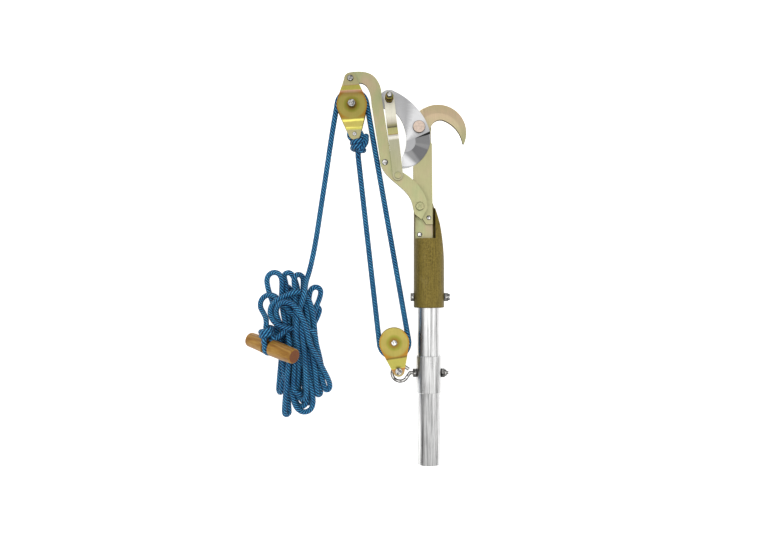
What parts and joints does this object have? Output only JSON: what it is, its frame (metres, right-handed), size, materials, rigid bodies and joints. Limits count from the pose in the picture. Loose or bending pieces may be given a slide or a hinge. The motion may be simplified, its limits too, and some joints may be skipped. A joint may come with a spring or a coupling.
{
  "type": "rope-operated pole pruner head",
  "caption": "Pole pruner head with a hooked anvil, a pivoting curved blade worked by a lever, link and rope blocks, a tied-up rope with a toggle, and a tube spigot.",
  "frame": {"origin": "on the pole's axis at the free lower end of the adapter tube, which is the pole_spigot mount", "axes": "+Y runs up the pole to the hook, +X is the side the hook opens to, +Z is the front, away from the surface it lies on"},
  "size_m": [0.3057, 0.5363, 0.0687],
  "materials": {
    "cast_bronze": "olive-bronze paint over a sand casting, satin",
    "yellow_zinc": "yellow chromate zinc plate on flat steel bar, satin",
    "gold_zinc": "deep yellow chromate zinc plate, brighter, with pink edges",
    "bright_zinc": "bright zinc plated fasteners",
    "copper_zinc": "pinkish chromate zinc plate, turned",
    "ground_steel": "ground tool steel with grinding lines",
    "spring_steel": "dark oiled spring wire",
    "sheave_zinc": "plated, worn in the groove",
    "aluminium_tube": "drawn tube with lengthwise streaks",
    "blue_rope": "solid-braid polypropylene cord with dark flecks",
    "varnished_wood": "clear varnish on turned hardwood"
  },
  "bodies": {
    "head": {"socket_casting": "cast_bronze", "tang_plate": "yellow_zinc", "hook_plate": "yellow_zinc", "plate_rivets": "bright_zinc", "blade_pivot_bolt": "copper_zinc", "blade_pivot_washer": "bright_zinc", "blade_pivot_nut": "bright_zinc", "lever_pivot_screw": "yellow_zinc", "lever_spacer": "bright_zinc", "lever_pivot_nut": "bright_zinc", "return_spring": "spring_steel", "cross_bolt": "bright_zinc", "cross_nut": "bright_zinc", "adapter_tube": "aluminium_tube", "ferrule": "aluminium_tube", "eyebolt": "bright_zinc", "eyebolt_jam_nut": "bright_zinc", "eyebolt_lock_nut": "bright_zinc"},
    "lever": {"lever_arm": "yellow_zinc", "lever_rivet": "bright_zinc", "link_foot_pin": "yellow_zinc"},
    "blade": {"cutting_blade": "ground_steel", "blade_tail_bush": "yellow_zinc"},
    "link": {"link_strap": "yellow_zinc", "link_stud": "bright_zinc", "link_stud_nut": "gold_zinc", "link_jam_nut": "gold_zinc"},
    "upper_block": {"upper_front_cheek": "gold_zinc", "upper_rear_cheek": "gold_zinc", "upper_hanger_bolt": "bright_zinc", "upper_hanger_nut": "bright_zinc", "upper_axle_bolt": "bright_zinc", "upper_axle_nut": "bright_zinc", "upper_axle_sleeve": "gold_zinc", "becket_rivet": "bright_zinc", "becket_knot": "blue_rope", "upper_wrap": "blue_rope"},
    "upper_sheave": {"upper_sheave": "sheave_zinc"},
    "lower_block": {"lower_front_cheek": "gold_zinc", "lower_rear_cheek": "gold_zinc", "lower_axle_rivet": "bright_zinc", "lower_hanger_bolt": "bright_zinc", "lower_hanger_nut": "bright_zinc", "lower_hanger_bush": "bright_zinc", "lower_wrap": "blue_rope", "standing_fall": "blue_rope", "running_fall": "blue_rope"},
    "lower_sheave": {"lower_sheave": "sheave_zinc"},
    "haul_rope": {"haul_line": "blue_rope", "rope_hank": "blue_rope", "handle_knot": "blue_rope", "handle_lead": "blue_rope", "toggle_handle": "varnished_wood"}
  },
  "joints": [
    {"name": "lever_pull", "type": "hinge", "parent": "head", "child": "lever", "pos_m": [-0.0133, 0.3534, 0.0146], "axis": [0, 0, 1], "range_deg": [0, 95], "stiffness_Nm_per_rad": 0.25, "springref_deg": -28.65, "deforming": ["standing_fall", "running_fall", "upper_wrap", "return_spring"]},
    {"name": "blade_turn", "type": "hinge", "parent": "head", "child": "blade", "pos_m": [-0.0144, 0.4621, 0.0092], "axis": [0, 0, 1], "range_deg": [0, 85.09]},
    {"name": "link_swing", "type": "hinge", "parent": "lever", "child": "link", "pos_m": [-0.0433, 0.395, 0.019], "axis": [0, 0, 1], "range_deg": [-99.88, 0]},
    {"name": "upper_block_swing", "type": "hinge", "parent": "lever", "child": "upper_block", "pos_m": [-0.1077, 0.5265, 0.0146], "axis": [0, 0, 1], "range_deg": [-54.26, 0]},
    {"name": "lower_block_swing", "type": "hinge", "parent": "head", "child": "lower_block", "pos_m": [-0.0417, 0.1282, 0], "axis": [0, 0, 1], "range_deg": [0, 41.14]},
    {"name": "haul_swing", "type": "hinge", "parent": "upper_block", "child": "haul_rope", "pos_m": [-0.1056, 0.4905, 0.0146], "axis": [0, 0, 1], "range_deg": [-41.14, 0]},
    {"name": "upper_sheave_spin", "type": "hinge", "parent": "upper_block", "child": "upper_sheave", "pos_m": [-0.1056, 0.4905, 0.0146], "axis": [0, 0, 1], "continuous": true},
    {"name": "lower_sheave_spin", "type": "hinge", "parent": "lower_block", "child": "lower_sheave", "pos_m": [-0.048, 0.1671, 0], "axis": [0, 0, 1], "continuous": true}
  ],
  "couplings": [
    {"joint": "blade_turn", "follows": "lever_pull", "ratio": 0.89358},
    {"joint": "link_swing", "follows": "lever_pull", "ratio": -1.0493},
    {"joint": "upper_block_swing", "follows": "lever_pull", "ratio": -0.56905},
    {"joint": "lower_block_swing", "follows": "lever_pull", "ratio": 0.43095},
    {"joint": "haul_swing", "follows": "lever_pull", "ratio": -0.43095}
  ]
}
